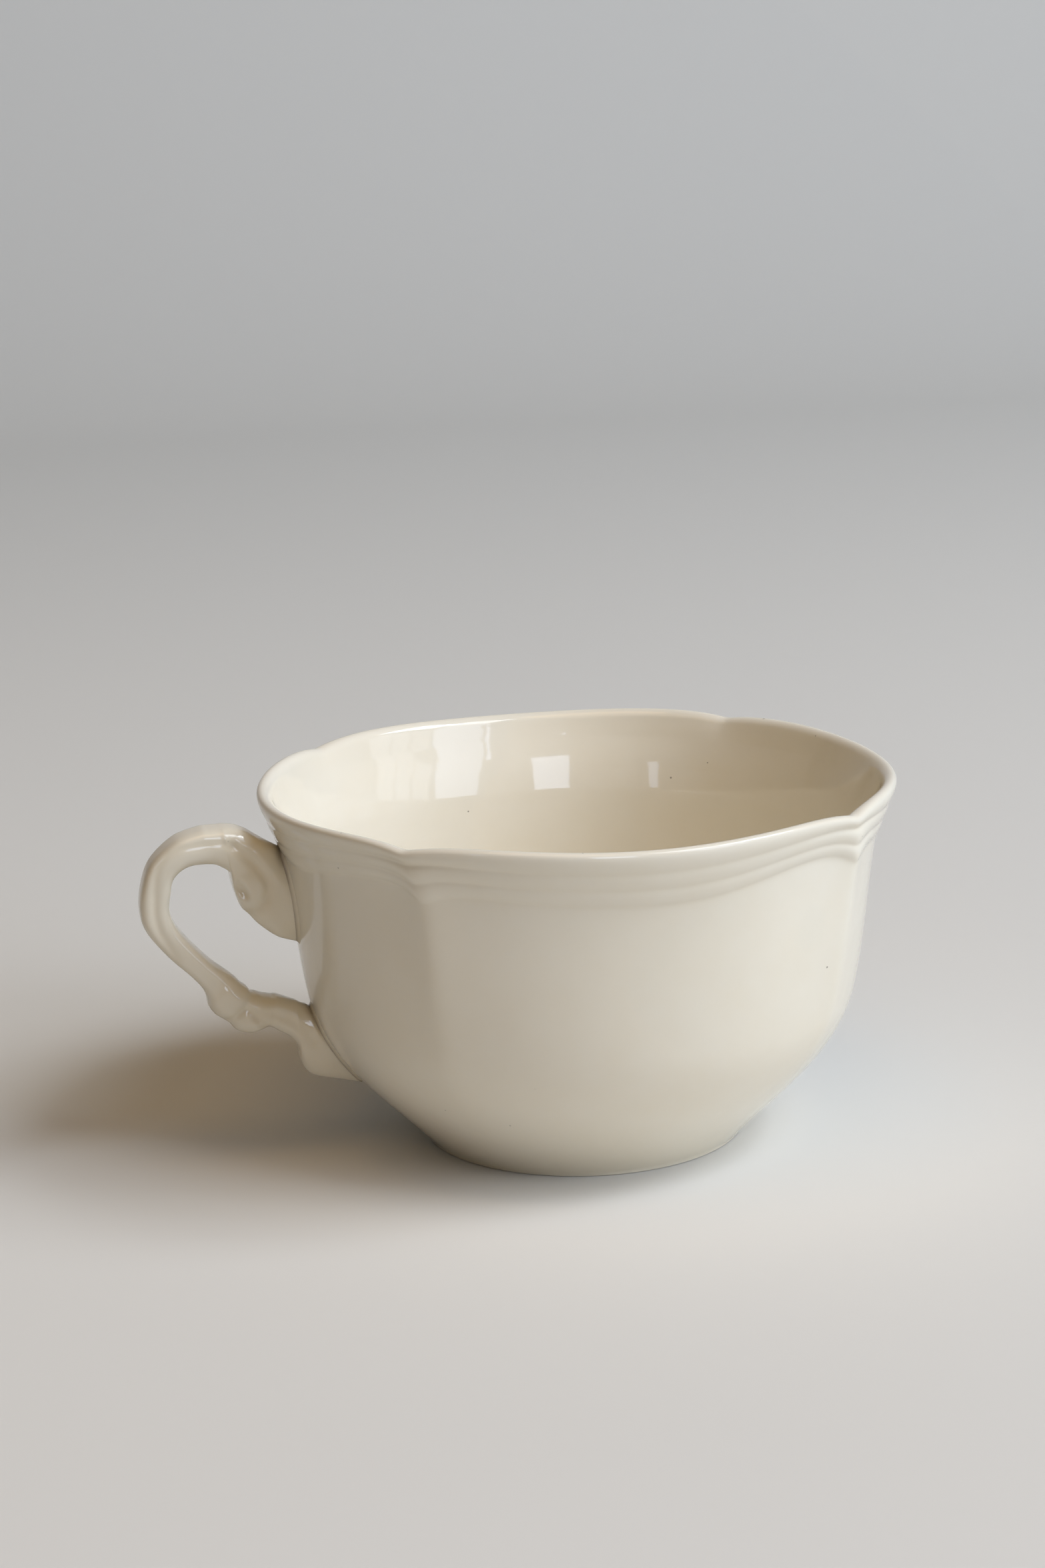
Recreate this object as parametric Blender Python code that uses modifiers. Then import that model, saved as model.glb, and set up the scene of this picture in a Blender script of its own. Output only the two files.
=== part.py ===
"""Breakfast cup of cream glazed earthenware, with a lobed rim and a scrolled handle.

The cup stands on its foot ring on the ground plane, and the handle points along -X.
Four sides face +X, -X, +Y and -Y, and a soft rib runs up the wall where two sides meet.
"""

import math

import bmesh
import bpy
import numpy as np

MM = 0.001

# Rim and mouldings
RIM_RADIUS = 57.4 * MM
CUP_HEIGHT = 66.6 * MM
LIP_OVERHANG = 0.9 * MM
LIP_DEPTH = 4.2 * MM
LIP_UNDERCUT = 1.25 * MM
REED_COUNT = 2
REED_HEIGHT = 3.15 * MM
REED_STEP = 1.3 * MM

# Wall, floor and foot
WALL = 3.2 * MM
BELLY_RADIUS = 50.5 * MM
BELLY_HEIGHT = 27.8 * MM
FOOT_RADIUS = 29.9 * MM
FOOT_RING_WIDTH = 3.6 * MM
FOOT_EDGE = 0.5 * MM
RECESS_DEPTH = 1.5 * MM
FLOOR_THICKNESS = 4.0 * MM
FLOOR_FILLET = 3.0 * MM
NECK_SLOPE = 0.23
BELLY_SLOPE = 0.21
FOOT_SLOPE = 0.88
NECK_PULL = 8.0 * MM
BELLY_PULL_UP = 9.0 * MM
BELLY_PULL_DOWN = 11.5 * MM
FOOT_PULL = 8.5 * MM

# Four sides, with a rib between each two
SIDES = 4
SIDE_BULGE = 1.3 * MM
RIB_HEIGHT = 0.7 * MM
RIB_SPREAD = math.radians(4.0)
RIB_CREST = math.radians(0.8)
LOBES_START = 9.0 * MM
LOBES_FULL = 49.0 * MM
RIM_RISE = 0.9 * MM
RIM_DIP = 1.3 * MM
RIM_DIP_SPREAD = math.radians(6.0)
REED_LIFT_SHARE = 0.28
REED_DIP_SHARE = 0.30
REED_DIP_SPREAD = math.radians(5.0)
REED_FADE = 13.0 * MM

# Handle roots and the slip pads that join them to the wall
UPPER_ROOT_DROP = 18.0 * MM
UPPER_ROOT_HALF_HEIGHT = 8.9 * MM
UPPER_ROOT_HALF_WIDTH = 4.7 * MM
LOWER_ROOT_HEIGHT = 19.7 * MM
LOWER_ROOT_HALF_HEIGHT = 7.6 * MM
LOWER_ROOT_HALF_WIDTH = 4.4 * MM
JOINT_GAP = 0.3 * MM
JOINT_THICKNESS = 0.7 * MM
JOINT_MARGIN = 0.7 * MM

# Handle: how far its loop stands out from the wall, half its width at that place, and how square it is
HANDLE_REACH = 27.8 * MM
HANDLE_HALF_WIDTH = 3.9 * MM
HANDLE_SQUARENESS = 3.0

# Handle stations from the upper root round to the lower one: outer edge, inner edge and half width.
# An edge is a share of the reach, out from the wall, and a share of the rise between the roots.
HANDLE_STATION_SHARES = (
    (0.141, 1.369, 0.134, 0.738, 1.26),
    (0.222, 1.416, 0.242, 0.827, 1.23),
    (0.272, 1.434, 0.298, 0.895, 1.21),
    (0.308, 1.447, 0.344, 0.958, 1.21),
    (0.344, 1.455, 0.370, 1.064, 1.18),
    (0.380, 1.462, 0.368, 1.169, 1.15),
    (0.417, 1.470, 0.365, 1.178, 1.14),
    (0.474, 1.469, 0.402, 1.209, 1.13),
    (0.545, 1.462, 0.464, 1.238, 1.10),
    (0.702, 1.410, 0.613, 1.234, 1.08),
    (0.859, 1.276, 0.722, 1.169, 1.05),
    (0.952, 1.120, 0.769, 1.069, 1.03),
    (0.991, 0.960, 0.796, 0.964, 1.00),
    (0.971, 0.832, 0.775, 0.860, 1.00),
    (0.862, 0.668, 0.699, 0.742, 0.97),
    (0.743, 0.536, 0.589, 0.612, 0.97),
    (0.679, 0.444, 0.517, 0.550, 0.97),
    (0.663, 0.382, 0.478, 0.519, 1.00),
    (0.663, 0.325, 0.448, 0.487, 1.08),
    (0.641, 0.268, 0.419, 0.455, 1.10),
    (0.595, 0.225, 0.386, 0.420, 1.08),
    (0.568, 0.200, 0.363, 0.393, 1.03),
    (0.546, 0.156, 0.332, 0.382, 1.05),
    (0.505, 0.129, 0.304, 0.371, 1.09),
    (0.445, 0.122, 0.273, 0.363, 1.09),
    (0.371, 0.137, 0.238, 0.355, 1.05),
    (0.320, 0.149, 0.209, 0.351, 1.00),
    (0.274, 0.117, 0.173, 0.339, 0.97),
    (0.228, 0.067, 0.139, 0.326, 0.97),
    (0.215, 0.003, 0.102, 0.310, 1.03),
    (0.247, -0.075, 0.087, 0.299, 1.08),
    (0.281, -0.146, 0.078, 0.289, 1.12),
    (0.271, -0.195, 0.066, 0.279, 1.15),
)

# Fineness of the meshes
TURN_STEPS = 96
TURN_CROWDING = 0.6
CURVE_STEPS = 7
HANDLE_SIDES = 16
HANDLE_STEPS = 2
PATCH_RINGS = 3

QUARTER = 2 * math.pi / SIDES
MOULDING_DEPTH = LIP_DEPTH + REED_COUNT * REED_HEIGHT
NECK_HEIGHT = CUP_HEIGHT - MOULDING_DEPTH
NECK_RADIUS = RIM_RADIUS + LIP_OVERHANG - LIP_UNDERCUT - REED_COUNT * REED_STEP
FLOOR_HEIGHT = RECESS_DEPTH + FLOOR_THICKNESS
UPPER_ROOT_HEIGHT = CUP_HEIGHT - UPPER_ROOT_DROP
ROOT_OUT = JOINT_GAP + JOINT_THICKNESS + JOINT_GAP


def cubic(start, start_handle, end_handle, end, share):
    """A point on a cubic curve, as radius and height."""
    rest = 1 - share
    weights = np.array((rest**3, 3 * rest**2 * share, 3 * rest * share**2, share**3))
    return weights @ np.array((start, start_handle, end_handle, end))


def upper_wall(share):
    """The outer wall from the neck, below the mouldings, down to the belly."""
    return cubic(
        (NECK_RADIUS, NECK_HEIGHT),
        (NECK_RADIUS - NECK_SLOPE * NECK_PULL, NECK_HEIGHT - NECK_PULL),
        (BELLY_RADIUS + BELLY_SLOPE * BELLY_PULL_UP, BELLY_HEIGHT + BELLY_PULL_UP),
        (BELLY_RADIUS, BELLY_HEIGHT),
        share,
    )


def lower_wall(share):
    """The outer wall from the belly down to the foot."""
    return cubic(
        (BELLY_RADIUS, BELLY_HEIGHT),
        (BELLY_RADIUS - BELLY_SLOPE * BELLY_PULL_DOWN, BELLY_HEIGHT - BELLY_PULL_DOWN),
        (FOOT_RADIUS + FOOT_SLOPE * FOOT_PULL, FOOT_EDGE + FOOT_PULL),
        (FOOT_RADIUS, FOOT_EDGE),
        share,
    )


def plain_wall():
    """Outer wall below the mouldings, top to bottom, in the middle of a side."""
    shares = np.linspace(0, 1, CURVE_STEPS + 1)
    points = [upper_wall(share) for share in shares]
    points += [lower_wall(share) for share in shares[1:]]
    return np.array(points)


def mouldings():
    """Lip and reeds on the outside of the rim, from the crest down to the neck."""
    points = []
    for turn in np.radians((90, 60, 30, 0, -30, -60)):
        radius = RIM_RADIUS + LIP_OVERHANG * math.cos(turn)
        points.append((radius, CUP_HEIGHT - LIP_OVERHANG * (1 - math.sin(turn))))
    reed_radius = RIM_RADIUS + LIP_OVERHANG - LIP_UNDERCUT
    for reed in range(REED_COUNT):
        for share in (0.0, 0.35, 0.65, 0.85):
            height = CUP_HEIGHT - LIP_DEPTH - REED_HEIGHT * (reed + share)
            points.append((reed_radius - REED_STEP * (reed + share**1.5), height))
    return np.array(points)


def outside():
    """Outside of the cup in the middle of a side, from the crest of the rim to the edge of the foot."""
    return np.concatenate((mouldings(), plain_wall()))


def inside():
    """Inside of the cup in the middle of a side, from the centre of the floor to the crest of the rim."""
    wall = plain_wall()
    along = np.gradient(wall, axis=0)
    along /= np.linalg.norm(along, axis=1)[:, None]
    inner = wall + WALL * np.stack((along[:, 1], -along[:, 0]), axis=1)
    inner = inner[inner[:, 1] > FLOOR_HEIGHT + FLOOR_FILLET]
    edge_radius = inner[-1, 0] - FLOOR_FILLET
    fillet = [(edge_radius + FLOOR_FILLET / 2, FLOOR_HEIGHT + FLOOR_FILLET / 3)]
    floor = [(edge_radius * share, FLOOR_HEIGHT) for share in (0.0, 0.5, 0.9)]
    rim = [(RIM_RADIUS - LIP_OVERHANG, CUP_HEIGHT - LIP_OVERHANG / 2)]
    return np.concatenate((floor, fillet, inner[::-1], rim))


def underside():
    """Foot ring and the shallow recess inside it, from the edge of the foot to the centre."""
    ring_outer = FOOT_RADIUS - FOOT_EDGE
    ring_inner = FOOT_RADIUS - FOOT_RING_WIDTH
    recess_edge = (ring_inner - RECESS_DEPTH, RECESS_DEPTH)
    return np.array(((ring_outer, 0.0), (ring_inner, 0.0), recess_edge, (0.0, RECESS_DEPTH)))


def ridge(from_rib, spread):
    """1 on the line of a rib, falling away on both sides of it."""
    return math.exp((RIB_CREST - math.hypot(from_rib, RIB_CREST)) / spread)


def eased(share):
    """A share from 0 to 1 that starts and ends gently."""
    share = min(max(share, 0.0), 1.0)
    return share * share * (3 - 2 * share)


def lobed(radius, height, angle):
    """Radius and height of a turned point once the four sides, the ribs and the wavy rim are shaped."""
    depth = CUP_HEIGHT - height
    from_rib = angle % QUARTER - QUARTER / 2
    towards_rib = (1 - math.cos(SIDES * angle)) / 2
    grown = eased((height - LOBES_START) / (LOBES_FULL - LOBES_START)) * radius / RIM_RADIUS
    below_rim = min(depth / MOULDING_DEPTH, 1.0)
    bulge = SIDE_BULGE * towards_rib * below_rim + RIB_HEIGHT * ridge(from_rib, RIB_SPREAD)

    stretch = 1 - REED_LIFT_SHARE * towards_rib + REED_DIP_SHARE * ridge(from_rib, REED_DIP_SPREAD)
    fade = min(max((depth - MOULDING_DEPTH) / REED_FADE, 0.0), 1.0)
    lowered = min(depth, MOULDING_DEPTH) * (stretch - 1) * (1 - fade)
    lift = RIM_RISE * towards_rib - RIM_DIP * ridge(from_rib, RIM_DIP_SPREAD)
    raised = lift * (1 - min(depth / (MOULDING_DEPTH + REED_FADE), 1.0))
    return radius + bulge * grown, height - lowered + raised


def glazed(name, colour, roughness):
    """A glossy ceramic material."""
    material = bpy.data.materials.new(name)
    material.use_nodes = True
    shader = material.node_tree.nodes["Principled BSDF"]
    shader.inputs["Base Color"].default_value = (*colour, 1.0)
    shader.inputs["Roughness"].default_value = roughness
    shader.inputs["Metallic"].default_value = 0.0
    return material


def add_part(name, mesh, material, parent, collection):
    """A named object of the cup, shaded smooth."""
    mesh.shade_smooth()
    mesh.set_sharp_from_angle(angle=math.radians(50))
    mesh.materials.append(material)
    part = bpy.data.objects.new(name, mesh)
    part.parent = parent
    collection.objects.link(part)
    return part


def turned_mesh(name, profile, collection):
    """A profile turned about the upright axis."""
    line = bpy.data.meshes.new(name + "_profile")
    edges = [(i, i + 1) for i in range(len(profile) - 1)]
    line.from_pydata([(radius, 0.0, height) for radius, height in profile], edges, [])
    guide = bpy.data.objects.new(name + "_profile", line)
    collection.objects.link(guide)
    turn = guide.modifiers.new("turn", "SCREW")
    turn.axis = "Z"
    turn.steps = TURN_STEPS
    turn.render_steps = TURN_STEPS
    turn.use_merge_vertices = True
    turn.merge_threshold = 0.00001
    graph = bpy.context.evaluated_depsgraph_get()
    mesh = bpy.data.meshes.new_from_object(guide.evaluated_get(graph))
    mesh.name = name
    bpy.data.objects.remove(guide)
    return mesh


def bowl_mesh(collection):
    """The body: a turned bowl whose points are then moved into four sides."""
    mesh = turned_mesh("bowl", np.concatenate((inside(), outside(), underside())), collection)
    for vertex in mesh.vertices:
        x, y, height = vertex.co
        even = math.atan2(y, x)
        angle = even + TURN_CROWDING / SIDES * math.sin(SIDES * even)
        radius, height = lobed(math.hypot(x, y), height, angle)
        vertex.co = (radius * math.cos(angle), radius * math.sin(angle), height)
    return mesh


def on_wall(across, height, out):
    """A point beside the -X wall: across along the wall, at a height on it, and out square to it."""
    line = outside()[::-1]
    below, radius, above = np.interp((height - MM / 2, height, height + MM / 2), line[:, 1], line[:, 0])
    slope = (above - below) / MM
    square = math.hypot(1.0, slope)
    turn = across / radius
    reach = radius + out / square
    return np.array((-reach * math.cos(turn), reach * math.sin(turn), height - out * slope / square))


def wall_patch(middle, half_height, half_width, out, share=1.0):
    """A closed oval on the wall, one point for each side of the handle. It starts at the top."""
    turns = np.linspace(0, 2 * math.pi, HANDLE_SIDES, endpoint=False)
    return np.array([
        on_wall(share * half_width * math.sin(turn), middle + share * half_height * math.cos(turn), out)
        for turn in turns
    ])


def patch_rings(middle, half_height, half_width, out):
    """Ovals that shrink from the edge of a patch of wall to its middle."""
    shares = np.linspace(1, 0, PATCH_RINGS + 1)[:-1]
    rings = [wall_patch(middle, half_height, half_width, out, share) for share in shares]
    return rings, on_wall(0.0, middle, out)


def loft_mesh(name, start, rings, end):
    """A closed mesh through rings of points, with a single point at each end."""
    shape = bmesh.new()
    loops = [[shape.verts.new(point) for point in ring] for ring in rings]
    tips = (shape.verts.new(start), shape.verts.new(end))
    count = len(rings[0])
    for one, two in zip(loops, loops[1:]):
        for i in range(count):
            j = (i + 1) % count
            shape.faces.new((one[i], one[j], two[j], two[i]))
    for tip, loop in zip(tips, (loops[0], loops[-1])):
        for i in range(count):
            shape.faces.new((tip, loop[i], loop[(i + 1) % count]))
    bmesh.ops.recalc_face_normals(shape, faces=shape.faces)
    mesh = bpy.data.meshes.new(name)
    shape.to_mesh(mesh)
    shape.free()
    return mesh


def slip_mesh(name, middle, half_height, half_width):
    """A thin pad that follows the wall, a little larger than the handle root on it."""
    sizes = (middle, half_height + JOINT_MARGIN, half_width + JOINT_MARGIN)
    inner, inner_middle = patch_rings(*sizes, JOINT_GAP)
    outer, outer_middle = patch_rings(*sizes, JOINT_GAP + JOINT_THICKNESS)
    return loft_mesh(name, inner_middle, inner[::-1] + outer, outer_middle)


def squared(wave):
    """A wave with fuller turns, for a section between an oval and a square."""
    return np.sign(wave) * np.abs(wave) ** (2 / HANDLE_SQUARENESS)


def station_ring(outer_out, outer_share, inner_out, inner_share, width):
    """A ring across the handle, square with rounded corners."""
    line = plain_wall()[::-1]
    edges = []
    for out, share in ((outer_out, outer_share), (inner_out, inner_share)):
        height = LOWER_ROOT_HEIGHT + share * (UPPER_ROOT_HEIGHT - LOWER_ROOT_HEIGHT)
        edges.append((-np.interp(height, line[:, 1], line[:, 0]) - out * HANDLE_REACH, 0.0, height))
    outer, inner = np.array(edges)
    turns = np.linspace(0, 2 * math.pi, HANDLE_SIDES, endpoint=False)[:, None]
    across = np.array((0.0, width * HANDLE_HALF_WIDTH, 0.0))
    along = (outer - inner) / 2
    return inner + along + along * squared(np.cos(turns)) + across * squared(np.sin(turns))


def between(rings, index, share):
    """A ring on the smooth curve through the rings, a share of the way past one of them."""
    last = len(rings) - 1
    before, here, there, after = (rings[min(max(index + step, 0), last)] for step in (-1, 0, 1, 2))
    bend = 2 * before - 5 * here + 4 * there - after
    turn = 3 * (here - there) + after - before
    return here + share / 2 * (there - before + share * (bend + share * turn))


def handle_mesh():
    """The scrolled handle: a loft from the upper root, round the loop and its curls, to the lower root."""
    upper, upper_middle = patch_rings(
        UPPER_ROOT_HEIGHT, UPPER_ROOT_HALF_HEIGHT, UPPER_ROOT_HALF_WIDTH, ROOT_OUT
    )
    lower, lower_middle = patch_rings(
        LOWER_ROOT_HEIGHT, -LOWER_ROOT_HALF_HEIGHT, LOWER_ROOT_HALF_WIDTH, ROOT_OUT
    )
    main = [upper[0]] + [station_ring(*station) for station in HANDLE_STATION_SHARES] + [lower[0]]
    shares = np.arange(HANDLE_STEPS) / HANDLE_STEPS
    stem = [between(main, index, share) for index in range(len(main) - 1) for share in shares]
    return loft_mesh("handle", upper_middle, upper[:0:-1] + stem + lower, lower_middle)


def main():
    for old in list(bpy.data.objects):
        bpy.data.objects.remove(old)
    collection = bpy.data.collections.new("breakfast_cup")
    bpy.context.scene.collection.children.link(collection)

    axis = bpy.data.objects.new("cup_axis", None)
    collection.objects.link(axis)
    handle = handle_mesh()
    handle_reach = -min(vertex.co.x for vertex in handle.vertices)
    axis.location.x = (handle_reach - RIM_RADIUS - LIP_OVERHANG) / 2

    cream = (0.76, 0.71, 0.58)
    add_part("bowl", bowl_mesh(collection), glazed("bowl_glaze", cream, 0.16), axis, collection)
    add_part("handle", handle, glazed("handle_glaze", (0.74, 0.69, 0.56), 0.18), axis, collection)
    upper = slip_mesh("upper_slip_joint", UPPER_ROOT_HEIGHT, UPPER_ROOT_HALF_HEIGHT, UPPER_ROOT_HALF_WIDTH)
    add_part("upper_slip_joint", upper, glazed("upper_slip", (0.55, 0.46, 0.33), 0.3), axis, collection)
    lower = slip_mesh("lower_slip_joint", LOWER_ROOT_HEIGHT, LOWER_ROOT_HALF_HEIGHT, LOWER_ROOT_HALF_WIDTH)
    add_part("lower_slip_joint", lower, glazed("lower_slip", (0.46, 0.36, 0.24), 0.3), axis, collection)


main()
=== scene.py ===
"""Breakfast cup of cream glazed earthenware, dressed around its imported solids."""

import math

import bmesh
import bpy
import numpy as np
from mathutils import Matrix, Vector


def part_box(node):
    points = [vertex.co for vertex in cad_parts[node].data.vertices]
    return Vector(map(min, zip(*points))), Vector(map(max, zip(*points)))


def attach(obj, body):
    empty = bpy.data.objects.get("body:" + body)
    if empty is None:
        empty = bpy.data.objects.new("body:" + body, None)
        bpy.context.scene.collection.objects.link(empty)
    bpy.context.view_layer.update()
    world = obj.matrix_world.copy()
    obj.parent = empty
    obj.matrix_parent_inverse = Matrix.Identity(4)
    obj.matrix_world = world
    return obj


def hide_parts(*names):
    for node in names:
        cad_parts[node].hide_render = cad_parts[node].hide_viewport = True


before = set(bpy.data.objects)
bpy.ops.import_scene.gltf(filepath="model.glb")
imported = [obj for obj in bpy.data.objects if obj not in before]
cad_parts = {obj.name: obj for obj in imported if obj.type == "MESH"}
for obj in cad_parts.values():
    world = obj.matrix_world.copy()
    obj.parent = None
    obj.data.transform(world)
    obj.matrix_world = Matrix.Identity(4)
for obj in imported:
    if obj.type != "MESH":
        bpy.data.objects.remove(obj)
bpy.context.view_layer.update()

# Bowl
# A wide cast earthenware body: a turned shape pressed into four soft sides, with a lip and two reeds
# round the rim. It is dipped in cream glaze all over and wiped clean where it stands on its foot ring.

# Sizes are in millimetres.
MM = 0.001
RIM_RADIUS = 57.4
CUP_HEIGHT = 66.58
LIP_OVERHANG = 0.9
LIP_DEPTH = 4.2
LIP_UNDERCUT = 1.25
LIP_TURN = 100
LIP_FALL = 1.8
REED_COUNT = 2
REED_HEIGHT = 3.15
REED_STEP = 1.3
REED_SWELL = 0.21
REED_ROUNDNESS = 2.2
FLARE = 1.45
NECK_SLOPE = 0.23
WALL = 3.2
LIP_WALL = 2.5
THIN_FROM = 4.0
THIN_OVER = 2.0
INNER_LIP_DEPTH = 1.6
INNER_LIP_PULLS = ((0.75, 0.05), (0.35, 0.95))
BELLY_RADIUS = 50.5
BELLY_HEIGHT = 27.8
BELLY_SLOPE = 0.21
FOOT_RADIUS = 29.9
FOOT_SLOPE = 0.88
FOOT_RING_WIDTH = 3.6
FOOT_EDGE = 0.5
RECESS_DEPTH = 1.5
RECESS_RUN = 3.0
RECESS_PULLS = (0.5, 1.2)
FLOOR_HEIGHT = 5.5
FLOOR_FILLET = 6.0

# How far the wall keeps its direction at the neck, above and below the belly, and at the foot.
NECK_PULL = 8.0
BELLY_PULL_UP = 9.0
BELLY_PULL_DOWN = 11.5
FOOT_PULL = 8.5

# Steps between the rows of the mesh: the inner wall, the lip's inside, the mouldings, the outer wall
# and the foot ring, and how far below the neck each finer step ends.
INNER_STEP = 1.0
INNER_LIP_STEP = 0.36
MOULDING_STEP = 0.24
WALL_STEP = 0.95
RING_STEP = 0.5
INNER_LIP_END = 6.0
MOULDING_END = 1.0

# Where the glaze gathers: in how tight a bend, and how far up from the foot. The honey tint near the foot is
# partly pooled glaze and partly painted warm bounce light.
POOL_BEND = 1.2
FOOT_POOL_AND_LIGHT_HEIGHT = 7.0

# Where the glaze is wiped off the ring, and how far below the rim the inner wall keeps the ribs.
BARE_HEIGHT = 0.12
BARE_MARGIN = 0.4
INDOORS_DEPTH = 4.5

MOULDING_DEPTH = LIP_DEPTH + REED_COUNT * REED_HEIGHT
NECK_RADIUS = RIM_RADIUS + LIP_OVERHANG - LIP_UNDERCUT - REED_COUNT * REED_STEP
NECK_HEIGHT = CUP_HEIGHT - MOULDING_DEPTH

BOWL_RULE = {
    "Cup height": CUP_HEIGHT * MM,
    "Rim radius": RIM_RADIUS * MM,
    "Moulding depth": MOULDING_DEPTH * MM,
    "Sides": 4.0,
    "Side bulge": 0.9 * MM,
    "Rim rib height": 0.7 * MM,
    "Rib height": 1.9 * MM,
    "Rib left spread": math.radians(4.0),
    "Rib right spread": math.radians(7.0),
    "Rib crest": math.radians(2.4),
    "Rim crest": math.radians(0.9),
    "Lobes start": 9.0 * MM,
    "Lobes full": 49.0 * MM,
    "Rim rise": 0.9 * MM,
    "Rim dip": 1.3 * MM,
    "Rim dip spread": math.radians(6.0),
    "Reed lift": 0.26,
    "Reed lean": 0.42,
    "Reed dip": 0.20,
    "Reed dip spread": math.radians(3.2),
    "Lip depth": LIP_DEPTH * MM,
    "Lip thinning": 1.3 * MM,
    "Lip thinning spread": math.radians(6.0),
    "Lip thinning fade": 8.8 * MM,
    "Notch depth": 0.20 * MM,
    "Notch below rim": 3.7 * MM,
    "Notch height": 1.2 * MM,
    "Notch spread": math.radians(4.0),
    "Reed swell": 0.16 * MM,
    "Reed swell spread": math.radians(7.0),
    "Reed fade": 13.0 * MM,
    "Rim turn": math.radians(1.0),
    "Body turn": math.radians(3.7),
    "Skew along": math.radians(0.7),
    "Skew across": math.radians(-1.75),
    "Skew oval": math.radians(1.22),
    "Rim turn depth": 12.0 * MM,
    "Wobble": 0.22 * MM,
    "Ripple": 0.06 * MM,
    "Left inside": 0.05,
    "Crowding": 0.6,
}
TURN_STEPS = 320
SOFT_PASSES = 2
WELD_DISTANCE = 0.000002

# The near corner on the handle's side, which the corners off square are measured from.
NEAR_CORNER = math.radians(-131)

# The clay's unevenness: how fine it is round the bowl, and how fine up the wall.
WOBBLE_SCALE = 1.3
WOBBLE_STRETCH = 12.0
RIPPLE_SCALE = 5.5
RIPPLE_STRETCH = 30.0
INDOORS_RUN = 2.0

# Where the glaze softens the reeds: it starts below the lip and ends on the plain wall.
SOFT_START = 3.0 * MM
SOFT_START_RUN = 2.0 * MM
SOFT_END = 8.0 * MM
SOFT_END_RUN = 6.0 * MM


def cubic(start, start_handle, end_handle, end, count):
    """Points on a cubic curve, each a radius and a height."""
    share = np.linspace(0, 1, count)[:, None]
    rest = 1 - share
    corners = [np.array(corner) for corner in (start, start_handle, end_handle, end)]
    weights = (rest**3, 3 * rest**2 * share, 3 * rest * share**2, share**3)
    return sum(weight * corner for weight, corner in zip(weights, corners))


def even_steps(line, step):
    """The same line with its points a fixed step apart."""
    run = np.concatenate(([0.0], np.cumsum(np.linalg.norm(np.diff(line, axis=0), axis=1))))
    marks = np.linspace(0, run[-1], max(2, int(round(run[-1] / step)) + 1))
    return np.stack([np.interp(marks, run, line[:, i]) for i in range(2)], axis=1)


def softened(line, reach):
    """The line with its corners rounded off over a reach of points. Its ends stay."""
    taps = np.exp(-0.5 * (np.arange(-3 * reach, 3 * reach + 1) / reach) ** 2)
    taps /= taps.sum()
    pad = len(taps) // 2
    ends = (2 * line[0] - line[pad:0:-1], 2 * line[-1] - line[-2:-pad - 2:-1])
    padded = np.concatenate((ends[0], line, ends[1]))
    return np.stack([np.convolve(padded[:, i], taps, "valid") for i in range(2)], axis=1)


plain_wall = np.concatenate((
    cubic(
        (NECK_RADIUS, NECK_HEIGHT),
        (NECK_RADIUS - NECK_SLOPE * NECK_PULL, NECK_HEIGHT - NECK_PULL),
        (BELLY_RADIUS + BELLY_SLOPE * BELLY_PULL_UP, BELLY_HEIGHT + BELLY_PULL_UP),
        (BELLY_RADIUS, BELLY_HEIGHT),
        60,
    ),
    cubic(
        (BELLY_RADIUS, BELLY_HEIGHT),
        (BELLY_RADIUS - BELLY_SLOPE * BELLY_PULL_DOWN, BELLY_HEIGHT - BELLY_PULL_DOWN),
        (FOOT_RADIUS + FOOT_SLOPE * FOOT_PULL, FOOT_EDGE + FOOT_PULL),
        (FOOT_RADIUS, FOOT_EDGE),
        60,
    )[1:],
))

lip_turns = np.radians(np.linspace(LIP_TURN, 0, 20))
lip_crest = np.stack((
    RIM_RADIUS + LIP_OVERHANG * np.cos(lip_turns),
    CUP_HEIGHT - LIP_OVERHANG * (1 - np.sin(lip_turns)),
), axis=1)
fall = np.linspace(0, 1, 24, endpoint=False)[1:]
lip_roll = np.stack((
    RIM_RADIUS + LIP_OVERHANG - LIP_UNDERCUT * fall**LIP_FALL,
    CUP_HEIGHT - LIP_OVERHANG - (LIP_DEPTH - LIP_OVERHANG) * fall,
), axis=1)


def reed_swell(share):
    """How full a reed is at a share of its height."""
    return 1 - np.abs(2 * share - 1) ** REED_ROUNDNESS


reeds = []
for reed in range(REED_COUNT):
    for share in np.linspace(0, 1, 24, endpoint=False):
        radius = RIM_RADIUS + LIP_OVERHANG - LIP_UNDERCUT - REED_STEP * (reed + share)
        radius += REED_SWELL * reed_swell(share)
        reeds.append((radius, CUP_HEIGHT - LIP_DEPTH - REED_HEIGHT * (reed + share)))
outer = even_steps(np.concatenate((lip_crest, lip_roll, reeds, plain_wall)), 0.1)
outer = softened(outer, 2)

inner_heights = np.linspace(CUP_HEIGHT - INNER_LIP_DEPTH, FLOOR_HEIGHT + FLOOR_FILLET, 400)
flare = [(RIM_RADIUS + FLARE, CUP_HEIGHT)]
for reed in range(REED_COUNT, 0, -1):
    flare.append((NECK_RADIUS + REED_STEP * reed, NECK_HEIGHT + REED_HEIGHT * reed))
soft_outer = softened(even_steps(np.concatenate((flare, plain_wall)), 0.1), 20)[::-1]
outer_radius = np.interp(inner_heights, soft_outer[:, 1], soft_outer[:, 0])
outer_lean = np.gradient(outer_radius, inner_heights)
near_lip = np.clip((inner_heights - NECK_HEIGHT + THIN_FROM) / (MOULDING_DEPTH + THIN_OVER), 0, 1)
thickness = WALL + (LIP_WALL - WALL) * near_lip
inner = np.stack((outer_radius - thickness * np.hypot(1, outer_lean), inner_heights), axis=1)
floor_edge = inner[-1, 0] - FLOOR_FILLET * 1.15
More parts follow.
